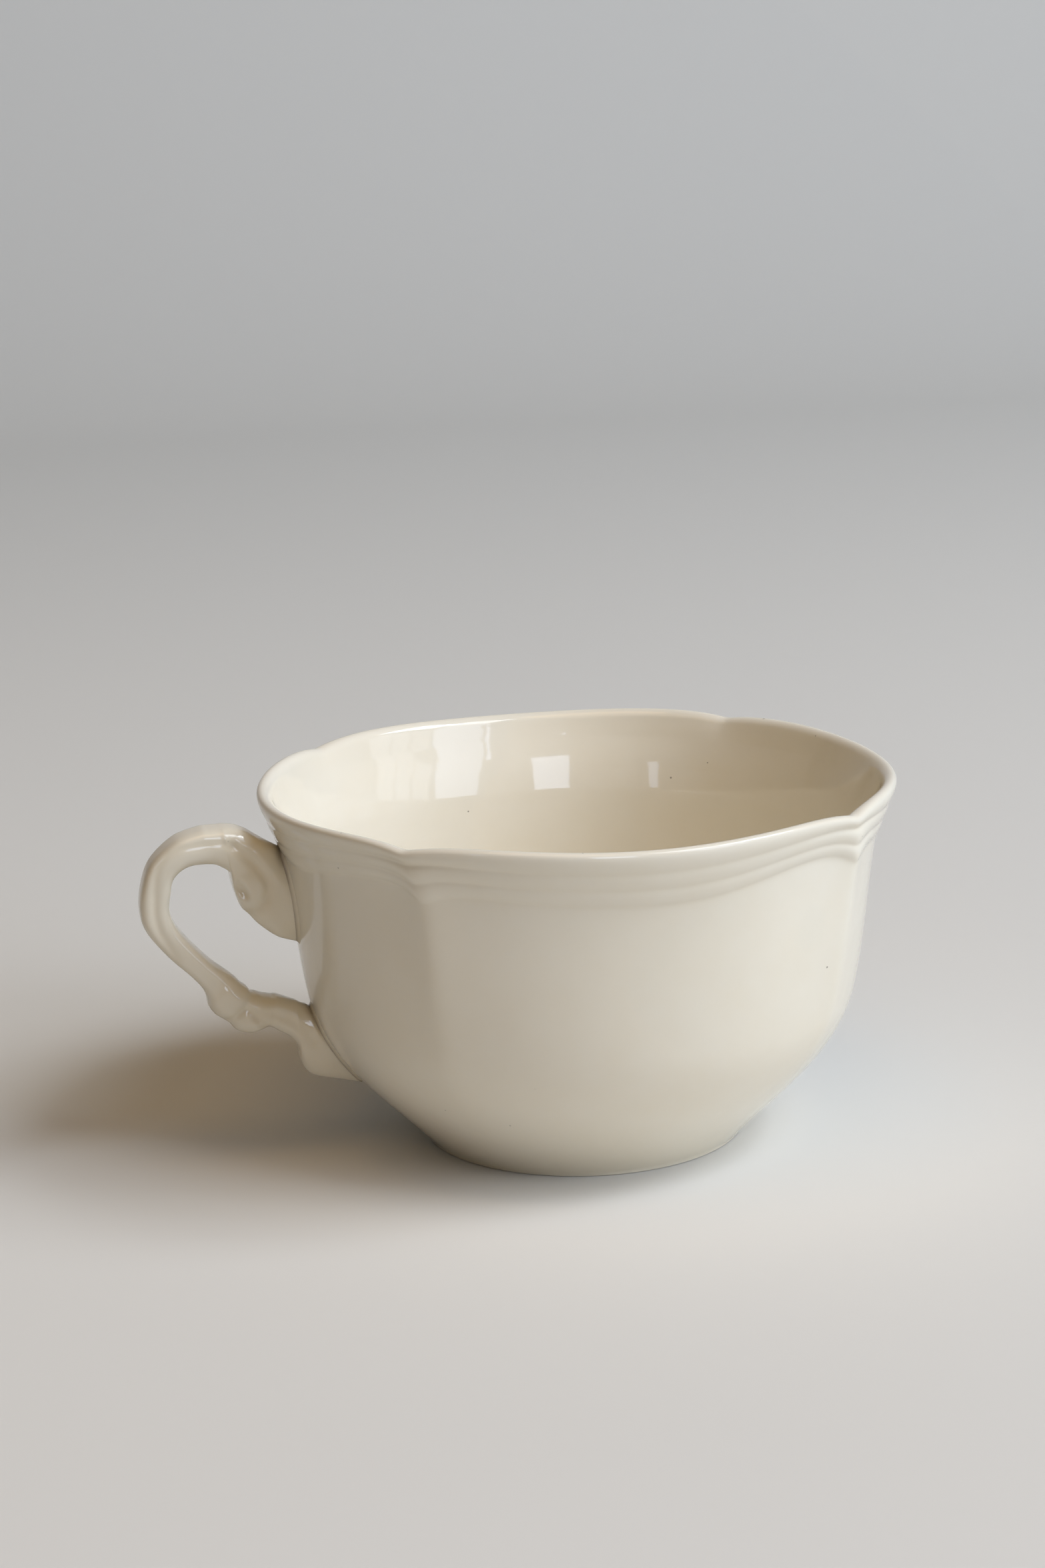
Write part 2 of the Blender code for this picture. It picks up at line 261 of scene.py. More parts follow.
floor = cubic(
    tuple(inner[-1]),
    (inner[-1, 0] - 0.75 * FLOOR_FILLET * outer_lean[-1], FLOOR_HEIGHT + 0.25 * FLOOR_FILLET),
    (floor_edge + 0.45 * FLOOR_FILLET, FLOOR_HEIGHT),
    (floor_edge, FLOOR_HEIGHT),
    30,
)
lip_inner = cubic(
    tuple(lip_crest[0]),
    (RIM_RADIUS - INNER_LIP_PULLS[0][0], CUP_HEIGHT - INNER_LIP_PULLS[0][1]),
    (inner[0, 0] + INNER_LIP_PULLS[1][0], inner[0, 1] + INNER_LIP_PULLS[1][1]),
    tuple(inner[0]),
    20,
)
inside = np.concatenate((lip_inner, inner[1:], floor[1:]))[::-1]

foot_turns = np.radians(np.linspace(0, -90, 7))
foot_round = np.stack((
    FOOT_RADIUS - FOOT_EDGE + FOOT_EDGE * np.cos(foot_turns),
    FOOT_EDGE + FOOT_EDGE * np.sin(foot_turns),
), axis=1)
ring_inner = FOOT_RADIUS - FOOT_RING_WIDTH
recess_edge = ring_inner - RECESS_RUN
recess = cubic(
    (ring_inner, 0.0),
    (ring_inner - RECESS_PULLS[0], 0.0),
    (ring_inner - RECESS_PULLS[1], RECESS_DEPTH),
    (recess_edge, RECESS_DEPTH),
    12,
)

lip_inside = inside[:, 1] >= NECK_HEIGHT - INNER_LIP_END
mouldings = outer[:, 1] > NECK_HEIGHT - MOULDING_END
rows = np.concatenate((
    [(floor_edge * share, FLOOR_HEIGHT) for share in np.linspace(0, 0.96, 20)],
    even_steps(inside[~lip_inside], INNER_STEP),
    even_steps(inside[lip_inside], INNER_LIP_STEP)[1:],
    even_steps(outer[mouldings], MOULDING_STEP)[1:],
    even_steps(outer[~mouldings], WALL_STEP)[1:],
    foot_round[1:],
    even_steps(np.array(((FOOT_RADIUS - FOOT_EDGE, 0.0), (ring_inner, 0.0))), RING_STEP)[1:],
    recess[1:],
    [(recess_edge * share, RECESS_DEPTH) for share in np.linspace(0.93, 0, 14)],
))

# Glaze gathers in hollows of the outline and thins on its edges. Near the foot it turns honey, partly pooled
# glaze and partly painted warm bounce light.
along = np.gradient(rows, axis=0)
lean = np.unwrap(np.arctan2(along[:, 1], along[:, 0]))
bend = np.gradient(lean) / np.maximum(np.linalg.norm(along, axis=1), 0.05)
crest_row = int(np.argmax(rows[:, 1]))
outside = np.arange(len(rows)) > crest_row
foot_pool_and_warm_light = np.exp(-((rows[:, 1] / FOOT_POOL_AND_LIGHT_HEIGHT) ** 2)) * outside
pooling_and_painted_light = np.clip(np.convolve(bend, np.ones(5) / 5, "same") / POOL_BEND + foot_pool_and_warm_light, -1, 1)
stands_on = (rows[:, 1] < BARE_HEIGHT) & (rows[:, 0] > ring_inner - BARE_MARGIN)
indoors = np.clip((CUP_HEIGHT - rows[:, 1]) / INDOORS_DEPTH, 0, 1) * ~outside
down_reeds = (CUP_HEIGHT - LIP_DEPTH - rows[:, 1]) / REED_HEIGHT
on_reeds = outside & (down_reeds > 0) & (down_reeds < REED_COUNT)
reed_face = np.where(on_reeds, reed_swell(down_reeds % 1), 0.0)


def keep_marks(mesh, name, values):
    """A number kept on each point of a mesh."""
    mesh.attributes.new(name, "FLOAT", "POINT").data.foreach_set("value", np.array(values, dtype=np.float32))


outline = bpy.data.meshes.new("bowl_outline")
outline.from_pydata([(r * MM, 0.0, h * MM) for r, h in rows], [(i, i + 1) for i in range(len(rows) - 1)], [])
keep_marks(outline, "pooling_and_painted_light", pooling_and_painted_light)
keep_marks(outline, "bare", stands_on)
keep_marks(outline, "indoors", indoors)
keep_marks(outline, "reed_face", reed_face)

bowl_low, bowl_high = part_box("bowl")
AXIS_X = (bowl_low.x + bowl_high.x) / 2


def glaze(name, cream, honey, speck, pooling_and_light_share, stain, stain_share):
    """Cream glaze: broad tone, fine mottle, pooled hollows that partly carry painted shade and painted warm
    light, pinhole specks, soft ripple and a stain.
    """
    material = bpy.data.materials.new(name)
    material.use_nodes = True
    nodes = material.node_tree.nodes
    links = material.node_tree.links
    shader = nodes["Principled BSDF"]
    place = nodes.new("ShaderNodeTexCoord").outputs["Object"]

    def noise(scale, detail):
        node = nodes.new("ShaderNodeTexNoise")
        node.inputs["Scale"].default_value = scale
        node.inputs["Detail"].default_value = detail
        links.new(place, node.inputs["Vector"])
        return node.outputs["Fac"]

    def number(operation, *values):
        node = nodes.new("ShaderNodeMath")
        node.operation = operation
        for socket, value in zip(node.inputs, values):
            if isinstance(value, (int, float)):
                socket.default_value = value
            else:
                links.new(value, socket)
        return node.outputs[0]

    def between(value, low, high, start, end):
        node = nodes.new("ShaderNodeMapRange")
        for socket, amount in zip(node.inputs[1:5], (low, high, start, end)):
            socket.default_value = amount
        links.new(value, node.inputs[0])
        return node.outputs[0]

    def blended(share, first, second):
        node = nodes.new("ShaderNodeMix")
        node.data_type = "RGBA"
        links.new(share, node.inputs["Factor"])
        for socket, colour in ((node.inputs[6], first), (node.inputs[7], second)):
            if isinstance(colour, tuple):
                socket.default_value = (*colour, 1.0)
            else:
                links.new(colour, socket)
        return node.outputs[2]

    def attribute(label):
        node = nodes.new("ShaderNodeAttribute")
        node.attribute_name = label
        return node.outputs["Fac"]

    # Honey where the glaze pools; the same mark paints shade under the lip corners and in the handle's
    # grooves, and warm light near the foot.
    pooled_and_painted_light = attribute("pooling_and_painted_light")
    broad = between(noise(22.0, 3.0), 0.35, 0.65, 0.0, 0.30)
    mottle = between(noise(150.0, 5.0), 0.3, 0.7, 0.0, 0.22)
    depth = number("MULTIPLY_ADD", pooled_and_painted_light, pooling_and_light_share, number("ADD", broad, mottle))
    colour = blended(between(depth, 0.0, 1.0, 0.0, 1.0), cream, honey)

    cells = nodes.new("ShaderNodeTexVoronoi")
    cells.inputs["Scale"].default_value = 300.0
    links.new(place, cells.inputs["Vector"])
    draw = nodes.new("ShaderNodeSeparateColor")
    links.new(cells.outputs["Color"], draw.inputs["Color"])
    reach = between(draw.outputs[0], 0.72, 1.0, 0.0, 0.085)
    fleck = between(number("SUBTRACT", reach, cells.outputs["Distance"]), 0.0, 0.03, 0.0, 1.0)
    colour = blended(number("MULTIPLY", fleck, 0.8), colour, speck)

    stained = number("MULTIPLY", attribute("seam"), between(noise(160.0, 4.0), 0.36, 0.62, 0.5, 1.0))
    colour = blended(number("MULTIPLY", stained, stain_share), colour, stain)

    worn = attribute("bare")
    clay = blended(between(noise(420.0, 6.0), 0.3, 0.7, 0.0, 1.0), (0.62, 0.53, 0.40), (0.74, 0.67, 0.54))
    colour = blended(worn, colour, clay)
    links.new(colour, shader.inputs["Base Color"])

    gloss = number("MULTIPLY_ADD", noise(70.0, 3.0), 0.06, 0.025)
    gloss = number("MULTIPLY_ADD", fleck, 0.3, gloss)
    gloss = number("MULTIPLY_ADD", worn, 0.5, gloss)
    links.new(gloss, shader.inputs["Roughness"])
    shader.inputs["Specular IOR Level"].default_value = 0.5
    shader.inputs["IOR"].default_value = 1.5

    surface = number("MULTIPLY_ADD", noise(480.0, 2.0), 0.10, number("MULTIPLY", noise(95.0, 2.0), 0.55))
    surface = number("MULTIPLY_ADD", fleck, -0.5, surface)
    ripple = nodes.new("ShaderNodeBump")
    ripple.inputs["Strength"].default_value = 0.28
    ripple.inputs["Distance"].default_value = 0.0003
    links.new(surface, ripple.inputs["Height"])
    links.new(ripple.outputs["Normal"], shader.inputs["Normal"])
    return material


SPECK = (0.10, 0.075, 0.05)
bowl_glaze = glaze(
    "bowl_cream_glaze",
    cream=(0.84, 0.79, 0.675),
    honey=(0.80, 0.73, 0.585),
    speck=SPECK,
    pooling_and_light_share=0.55,
    stain=(0.3, 0.2, 0.1),
    stain_share=0.0,
)

lobed = bpy.data.node_groups.new("lobed_bowl", "GeometryNodeTree")
lobed.interface.new_socket("Outline", in_out="INPUT", socket_type="NodeSocketGeometry")
keys = {}
for kind, labels in (
    ("NodeSocketFloat", BOWL_RULE),
    ("NodeSocketInt", ("Turn steps", "Soft passes")),
    ("NodeSocketFloat", ("Axis",)),
):
    for label in labels:
        keys[label] = lobed.interface.new_socket(label, in_out="INPUT", socket_type=kind).identifier
lobed.interface.new_socket("Bowl", in_out="OUTPUT", socket_type="NodeSocketGeometry")
given = lobed.nodes.new("NodeGroupInput")
size = {socket.name: socket for socket in given.outputs}


def step(kind, **sockets):
    """A node of the bowl's rule, with its sockets set or linked by name."""
    node = lobed.nodes.new(kind)
    for label, value in sockets.items():
        socket = node.inputs[label.replace("_", " ")]
        if isinstance(value, bpy.types.NodeSocket):
            lobed.links.new(value, socket)
        else:
            socket.default_value = value
    return node


def calc(operation, *values, clamp=False):
    """A sum on the numbers of the bowl's rule."""
    node = lobed.nodes.new("ShaderNodeMath")
    node.operation = operation
    node.use_clamp = clamp
    for socket, value in zip(node.inputs, values):
        if isinstance(value, bpy.types.NodeSocket):
            lobed.links.new(value, socket)
        else:
            socket.default_value = value
    return node.outputs[0]


def eased(share):
    """A share from 0 to 1 that starts and ends gently."""
    held = calc("ADD", share, 0.0, clamp=True)
    return calc("MULTIPLY", calc("MULTIPLY", held, held), calc("SUBTRACT", 3.0, calc("MULTIPLY", held, 2.0)))


count = step("GeometryNodeAttributeDomainSize", Geometry=size["Outline"]).outputs["Point Count"]
grid = step("GeometryNodeMeshGrid", Size_X=1.0, Size_Y=1.0, Vertices_Y=count)
lobed.links.new(calc("ADD", size["Turn steps"], 1.0), grid.inputs["Vertices X"])
position = lobed.nodes.new("GeometryNodeInputPosition").outputs[0]
spread = step("ShaderNodeSeparateXYZ", Vector=position)
row = calc("ROUND", calc("MULTIPLY", calc("ADD", spread.outputs[1], 0.5), calc("SUBTRACT", count, 1.0)))


def sampled(kind, value):
    """A value of the outline's point on this row."""
    node = lobed.nodes.new("GeometryNodeSampleIndex")
    node.data_type = kind
    lobed.links.new(size["Outline"], node.inputs["Geometry"])
    lobed.links.new(value, node.inputs["Value"])
    lobed.links.new(row, node.inputs["Index"])
    return node.outputs[0]


def named_value(label):
    """A named number of the outline's point on this row."""
    node = lobed.nodes.new("GeometryNodeInputNamedAttribute")
    node.data_type = "FLOAT"
    node.inputs["Name"].default_value = label
    return sampled("FLOAT", node.outputs["Attribute"])


point = step("ShaderNodeSeparateXYZ", Vector=sampled("FLOAT_VECTOR", position))
radius, height = point.outputs[0], point.outputs[2]
outdoors = calc("SUBTRACT", 1.0, named_value("indoors"))
even = calc("MULTIPLY", calc("ADD", spread.outputs[0], 0.5), 2 * math.pi)
crowd = calc("DIVIDE", size["Crowding"], size["Sides"])
angle = calc("MULTIPLY_ADD", crowd, calc("SINE", calc("MULTIPLY", even, size["Sides"])), even)

depth = calc("SUBTRACT", size["Cup height"], height)
rim_share = eased(calc("SUBTRACT", 1.0, calc("DIVIDE", depth, size["Rim turn depth"])))
turn_change = calc("SUBTRACT", size["Rim turn"], size["Body turn"])
turned = calc("MULTIPLY_ADD", turn_change, rim_share, size["Body turn"])
from_corner = calc("ADD", angle, -NEAR_CORNER)
skew = calc("MULTIPLY", size["Skew along"], calc("COSINE", from_corner))
skew = calc("MULTIPLY_ADD", size["Skew across"], calc("SINE", from_corner), skew)
skew = calc("MULTIPLY_ADD", size["Skew oval"], calc("COSINE", calc("MULTIPLY", from_corner, 2.0)), skew)
facing = calc("SUBTRACT", calc("SUBTRACT", angle, turned), skew)
quarter = calc("DIVIDE", 2 * math.pi, size["Sides"])
from_rib = calc("SUBTRACT", calc("FLOORED_MODULO", facing, quarter), calc("DIVIDE", quarter, 2.0))
round_turn = calc("MULTIPLY", facing, size["Sides"])
towards_rib = calc("MULTIPLY", calc("SUBTRACT", 1.0, calc("COSINE", round_turn)), 0.5)


def ridge(crest, left_spread, right_spread):
    """1 on the line of a rib, falling away on both sides of it, with a rounded crest."""
    run = calc("SQRT", calc("ADD", calc("POWER", from_rib, 2.0), calc("POWER", size[crest], 2.0)))
    wider = calc("SUBTRACT", size[right_spread], size[left_spread])
    spread = calc("MULTIPLY_ADD", wider, calc("GREATER_THAN", from_rib, 0.0), size[left_spread])
    return calc("EXPONENT", calc("DIVIDE", calc("SUBTRACT", size[crest], run), spread))


lobe_run = calc("SUBTRACT", size["Lobes full"], size["Lobes start"])
grown = eased(calc("DIVIDE", calc("SUBTRACT", height, size["Lobes start"]), lobe_run))
out_share = calc("DIVIDE", radius, size["Rim radius"])
grown = calc("MULTIPLY", grown, out_share)
below_rim = calc("DIVIDE", depth, size["Moulding depth"], clamp=True)
bulge = calc("MULTIPLY", calc("MULTIPLY", size["Side bulge"], towards_rib), below_rim)
rib_growth = calc("SUBTRACT", size["Rib height"], size["Rim rib height"])
rib = calc("MULTIPLY_ADD", rib_growth, below_rim, size["Rim rib height"])
shown = calc("MULTIPLY_ADD", calc("SUBTRACT", 1.0, size["Left inside"]), outdoors, size["Left inside"])
rib_line = ridge("Rib crest", "Rib left spread", "Rib right spread")
bulge = calc("MULTIPLY_ADD", calc("MULTIPLY", rib, shown), rib_line, bulge)
reed_line = ridge("Rim crest", "Reed swell spread", "Reed swell spread")
fuller_reed = calc("MULTIPLY", size["Reed swell"], named_value("reed_face"))
bulge = calc("ADD", bulge, calc("MULTIPLY", fuller_reed, reed_line))
from_notch = calc("DIVIDE", calc("SUBTRACT", depth, size["Notch below rim"]), size["Notch height"])
notch = calc("EXPONENT", calc("MULTIPLY", calc("POWER", calc("ABSOLUTE", from_notch), 2.0), -1.0))
notch = calc("MULTIPLY", notch, outdoors)
notch = calc("MULTIPLY", notch, ridge("Rim crest", "Notch spread", "Notch spread"))
bulge = calc("SUBTRACT", bulge, calc("MULTIPLY", notch, size["Notch depth"]))

reed_shift = calc("MULTIPLY", size["Reed dip"], ridge("Rim crest", "Reed dip spread", "Reed dip spread"))
leaning = calc("MULTIPLY_ADD", size["Reed lean"], calc("SINE", round_turn), 1.0)
reed_lift = calc("MULTIPLY", size["Reed lift"], leaning)
reed_shift = calc("SUBTRACT", reed_shift, calc("MULTIPLY", reed_lift, towards_rib))
fade = calc("DIVIDE", calc("SUBTRACT", depth, size["Moulding depth"]), size["Reed fade"], clamp=True)
reed_shift = calc("MULTIPLY", reed_shift, calc("SUBTRACT", 1.0, fade))
lowered = calc("MULTIPLY", calc("MINIMUM", depth, size["Moulding depth"]), reed_shift)
on_lip = calc("DIVIDE", depth, size["Lip depth"], clamp=True)
off_lip = calc("DIVIDE", calc("SUBTRACT", depth, size["Lip depth"]), size["Lip thinning fade"], clamp=True)
thinned = calc("MULTIPLY", calc("MULTIPLY", size["Lip thinning"], on_lip), calc("SUBTRACT", 1.0, off_lip))
thinned = calc("MULTIPLY", thinned, ridge("Rim crest", "Lip thinning spread", "Lip thinning spread"))
lowered = calc("MULTIPLY", calc("SUBTRACT", lowered, thinned), outdoors)
lift = calc("MULTIPLY", size["Rim dip"], ridge("Rim crest", "Rim dip spread", "Rim dip spread"))
lift = calc("SUBTRACT", calc("MULTIPLY", size["Rim rise"], towards_rib), lift)
reach = calc("DIVIDE", depth, calc("ADD", size["Moulding depth"], size["Reed fade"]), clamp=True)
raised = calc("MULTIPLY", calc("MULTIPLY", lift, outdoors), calc("SUBTRACT", 1.0, reach))


def round_noise(stretch, scale, detail):
    """A noise that runs on without a break round the bowl."""
    along_x, along_y = calc("COSINE", angle), calc("SINE", angle)
    spot = step("ShaderNodeCombineXYZ", X=along_x, Y=along_y, Z=calc("MULTIPLY", height, stretch))
    return step("ShaderNodeTexNoise", Vector=spot.outputs[0], Detail=detail, Scale=scale).outputs[0]


wobble = calc("MULTIPLY", round_noise(WOBBLE_STRETCH, WOBBLE_SCALE, 1.0), out_share)
shrink = calc("MULTIPLY", calc("MULTIPLY", size["Wobble"], shown), wobble)
inner_share = eased(calc("MULTIPLY", named_value("indoors"), INDOORS_RUN))
ripple = calc("MULTIPLY", size["Ripple"], round_noise(RIPPLE_STRETCH, RIPPLE_SCALE, 0.0))
shrink = calc("MULTIPLY_ADD", ripple, inner_share, shrink)
final_radius = calc("SUBTRACT", calc("MULTIPLY_ADD", bulge, grown, radius), shrink)
final_height = calc("ADD", calc("SUBTRACT", height, lowered), raised)
place = step(
    "ShaderNodeCombineXYZ",
    X=calc("MULTIPLY_ADD", final_radius, calc("COSINE", angle), size["Axis"]),
    Y=calc("MULTIPLY", final_radius, calc("SINE", angle)),
    Z=final_height,
)

# Glaze softens the reeds where they meet at a corner, below the lip and down to the plain wall.
below_lip = calc("DIVIDE", calc("SUBTRACT", depth, SOFT_START), SOFT_START_RUN, clamp=True)
soft_end = calc("ADD", size["Moulding depth"], SOFT_END)
above_wall = calc("DIVIDE", calc("SUBTRACT", soft_end, depth), SOFT_END_RUN, clamp=True)
soft = calc("MULTIPLY", calc("MULTIPLY", below_lip, above_wall), outdoors)
soft = calc("MULTIPLY", soft, reed_line)

surface = grid.outputs["Mesh"]
# Under the lip at each corner the glaze turns honey: partly glaze pooled in the notch, partly painted shade
# of the lip's overhang.
pooled_and_painted_light = calc("ADD", named_value("pooling_and_painted_light"), notch)
for label, value in (("pooling_and_painted_light", pooled_and_painted_light), ("bare", named_value("bare")), ("soft", soft)):
    store = lobed.nodes.new("GeometryNodeStoreNamedAttribute")
    store.data_type = "FLOAT"
    store.domain = "POINT"
    store.inputs["Name"].default_value = label
    lobed.links.new(surface, store.inputs["Geometry"])
    lobed.links.new(value, store.inputs["Value"])
    surface = store.outputs["Geometry"]
shaped = step("GeometryNodeSetPosition", Geometry=surface, Position=place.outputs[0])
closed = step("GeometryNodeMergeByDistance", Geometry=shaped.outputs[0], Distance=WELD_DISTANCE)
softness = lobed.nodes.new("GeometryNodeInputNamedAttribute")
softness.data_type = "FLOAT"
softness.inputs["Name"].default_value = "soft"
blur = lobed.nodes.new("GeometryNodeBlurAttribute")
blur.data_type = "FLOAT_VECTOR"
for value, label in (
    (position, "Value"),
    (size["Soft passes"], "Iterations"),
    (softness.outputs["Attribute"], "Weight"),
):
    lobed.links.new(value, next(socket for socket in blur.inputs if socket.name == label and socket.enabled))
eased_mesh = step("GeometryNodeSetPosition", Geometry=closed.outputs[0])
lobed.links.new(next(socket for socket in blur.outputs if socket.enabled), eased_mesh.inputs["Position"])
smooth = step("GeometryNodeSetShadeSmooth", Geometry=eased_mesh.outputs[0])
whole = step("GeometryNodeRealizeInstances", Geometry=smooth.outputs[0])
coat = step("GeometryNodeSetMaterial", Geometry=whole.outputs[0])
coat.inputs["Material"].default_value = bowl_glaze
lobed.links.new(coat.outputs[0], lobed.nodes.new("NodeGroupOutput").inputs[0])

bowl = bpy.data.objects.new("glazed_bowl", outline)
bpy.context.scene.collection.objects.link(bowl)
shaping = bowl.modifiers.new("lobed", "NODES")
shaping.node_group = lobed
for label, value in BOWL_RULE.items():
    shaping[keys[label]] = value
shaping[keys["Turn steps"]] = TURN_STEPS
shaping[keys["Soft passes"]] = SOFT_PASSES
shaping[keys["Axis"]] = AXIS_X
bowl.update_tag()
finished = bpy.data.meshes.new_from_object(bowl.evaluated_get(bpy.context.evaluated_depsgraph_get()))
bowl.modifiers.clear()
bowl.data = finished
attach(bowl, "root")
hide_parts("bowl")

# Handle
# A pressed scroll of the same clay, square in section with rounded edges and a shallow groove along
# each face. The groove curls round an eye above the leaf tip. Its two ends are stuck on with slip.

# Each row crosses the handle: outer edge out and up, inner edge out and up, and half the width.
SCROLL = np.array((
    (58.34, 59.30, 56.10, 41.18, 4.90),
    (60.62, 60.85, 59.36, 43.70, 4.80),
    (62.01, 61.55, 61.12, 45.71, 4.70),
    (63.00, 61.88, 62.60, 47.40, 4.70),
    (64.00, 62.04, 63.72, 50.66, 4.60),
    (65.00, 62.10, 64.17, 53.71, 4.50),
    (66.02, 62.06, 64.14, 53.82, 4.45),
    (67.59, 62.02, 65.34, 54.77, 4.40),
    (69.57, 61.82, 67.27, 55.61, 4.30),
    (73.92, 60.35, 71.41, 55.49, 4.20),
    (78.25, 56.52, 74.08, 53.55, 3.90),
    (80.08, 52.04, 74.87, 50.61, 3.65),
    (80.58, 47.45, 75.24, 47.55, 3.55),
    (79.60, 43.76, 74.29, 44.56, 3.60),
    (76.05, 39.02, 71.86, 41.13, 3.70),
    (72.30, 35.20, 68.38, 37.35, 3.80),
    (70.19, 32.56, 66.18, 35.56, 3.80),
    (69.45, 30.75, 64.99, 34.64, 3.90),
    (69.18, 29.11, 63.99, 33.76, 4.20),
    (68.20, 27.51, 63.10, 32.77, 4.30),
    (66.59, 26.30, 61.98, 31.81, 4.20),
    (65.63, 25.55, 61.28, 30.98, 4.00),
    (64.56, 24.26, 60.34, 30.66, 4.10),
    (63.10, 23.55, 59.51, 30.30, 4.25),
    (61.34, 23.39, 58.60, 30.07, 4.25),
    (59.49, 23.86, 57.58, 29.82, 4.10),
    (58.23, 24.14, 56.72, 29.77, 3.90),
    (56.58, 23.17, 55.67, 29.41, 3.85),
    (54.75, 22.00, 54.72, 28.99, 3.85),
    (53.55, 20.60, 53.85, 28.66, 3.95),
    (53.08, 19.00, 53.35, 28.46, 4.10),
    (52.88, 17.30, 53.05, 28.32, 4.20),
    (52.40, 15.90, 52.82, 28.16, 4.30),
    (51.50, 14.75, 52.58, 28.00, 4.38),
    (50.30, 14.02, 52.30, 27.84, 4.42),
    (48.60, 13.50, 51.95, 27.68, 4.45),
    (46.40, 13.00, 51.45, 27.52, 4.45),
))
ROUND_STEPS = 72
LENGTH_STEPS = 9
SQUARENESS = 3.8
LEG_CROWN = 0.24
LEG_TOP = 37.0
LEG_FADE = 5.0

# Each root on the wall: the height of its middle, half its height and half its width. The lower root is
# met from the other end of the handle, so its points run the other way and its half height is below 0.
UPPER_ROOT = (48.6, 8.9, 4.7)
LOWER_ROOT = (19.7, -7.6, 4.4)
ROOT_OUT = 0.5
CAP_SHARES = (0.75, 0.5, 0.25)

# Lines cut into each face: where they run, how wide they are and how deep.
FACE_GROOVE = (
    (74.6, 38.9), (76.1, 41.5), (77.4, 44.1), (78.0, 46.6), (78.0, 49.1), (77.9, 51.5), (77.7, 54.0),
    (77.0, 56.4), (75.6, 58.0), (73.4, 59.2), (70.6, 59.7), (68.3, 59.9), (65.9, 59.9), (63.6, 59.1),
)
KNOB_GROOVE = (
    (63.6, 59.1), (61.9, 57.5), (59.9, 55.5), (58.2, 53.5), (57.5, 51.4), (58.1, 49.2), (59.5, 47.5),
    (61.2, 46.4),
)
FIRST_CURL = ((65.8, 26.7), (64.4, 27.5), (62.8, 28.6))
SECOND_CURL = ((58.9, 24.4), (60.4, 26.1), (61.8, 28.1))
LEG_DIP = ((60.4, 27.5), (57.8, 27.3), (55.2, 26.3), (52.7, 24.3), (50.8, 21.4))
CUTS = (
    (FACE_GROOVE, 0.80, 0.24),
    (KNOB_GROOVE, 0.95, 0.42),
    (FIRST_CURL, 0.7, 0.40),
    (SECOND_CURL, 0.7, 0.40),
    (LEG_DIP, 1.1, 0.28),
)
KNOB = (61.3, 50.5)
KNOB_RADIUS = 3.7
KNOB_SWELL = 0.32
EYE = (62.4, 51.0)
EYE_ALONG = (0.59, 0.81)
EYE_LENGTH = 2.2
EYE_WIDTH = 1.25
EYE_DEPTH = 0.95
EYE_SHARPNESS = 1.2
FACE_START = 3.0
# How deep a press turns fully honey: pooled glaze and painted shade in the grooves and the eye.
POOL_AND_SHADE_DEPTH = 0.4

# The stain beside the wall: how far it reaches, and the heights on the wall where it starts and ends.
STAIN_GAP = 0.5
STAIN_REACH = 0.9
STAIN_RISE = 3.0
LOWER_STAIN = 23.5
LOWER_STAIN_END = 35.0
UPPER_STAIN = 53.5


def on_wall(across, height, out):
    """A point beside the -X wall: across along the wall, at a height on it, and out square to it."""
    line = plain_wall[::-1]
    below, here, above = np.interp((height - 0.5, height, height + 0.5), line[:, 1], line[:, 0])
    lean = above - below
    square = math.hypot(1.0, lean)
    turn = across / here
    reach = here + out / square
    return np.array((-reach * math.cos(turn), reach * math.sin(turn), height - out * lean / square))


turns = np.linspace(0, 2 * math.pi, ROUND_STEPS, endpoint=False)


def wall_oval(root, out, margin=0.0, share=1.0):
    """A closed oval on the wall round a root of the handle."""
    middle, half_height, half_width = root
    tall = share * (half_height + math.copysign(margin, half_height))
    wide = share * (half_width + margin)
    return np.array([on_wall(wide * math.sin(t), middle + tall * math.cos(t), out) for t in turns])


def squared(wave):
    """A wave whose turns are fuller, for a section between an oval and a square."""
    return np.sign(wave) * np.abs(wave) ** (2 / SQUARENESS)


def crossing(station):
    """A ring across the handle, its points evenly spaced round a square with rounded corners."""
    outer_edge = np.array((-station[0], 0.0, station[1]))
    inner_edge = np.array((-station[2], 0.0, station[3]))
    middle = (outer_edge + inner_edge) / 2
    half = (outer_edge - inner_edge) / 2
    wide = np.array((0.0, station[4], 0.0))
    fine = np.linspace(0, 2 * math.pi, 1441)
    crown = LEG_CROWN * min(max((LEG_TOP - middle[2]) / LEG_FADE, 0.0), 1.0)
    deep = squared(np.cos(fine)) * (1 - crown * squared(np.sin(fine)) ** 2)
    ring = middle + half * deep[:, None] + wide * squared(np.sin(fine))[:, None]
    run = np.concatenate(([0.0], np.cumsum(np.linalg.norm(np.diff(ring, axis=0), axis=1))))
    marks = np.linspace(0, run[-1], ROUND_STEPS, endpoint=False)
    return np.stack([np.interp(marks, run, ring[:, i]) for i in range(3)], axis=1)


def smooth_rings(rings, steps):
    """Rings on the smooth curve through the given ones."""
    last = len(rings) - 1
    result = []
    for index in range(last):
        before, here, there, after = (rings[min(max(index + k, 0), last)] for k in (-1, 0, 1, 2))
        for share in np.arange(steps) / steps:
            bend_up = 2 * before - 5 * here + 4 * there - after
            turn_up = 3 * (here - there) + after - before
            result.append(here + share / 2 * (there - before + share * (bend_up + share * turn_up)))
    return result + [rings[last]]


def line_distance(points, line):
    """How far each point lies from a line through the given places."""
    line = np.array(line)
    best = np.full(len(points), 1e9)
    for start, end in zip(line, line[1:]):
        run = end - start
        share = np.clip((points - start) @ run / (run @ run), 0, 1)
        best = np.minimum(best, np.linalg.norm(points - start - share[:, None] * run, axis=1))
    return best


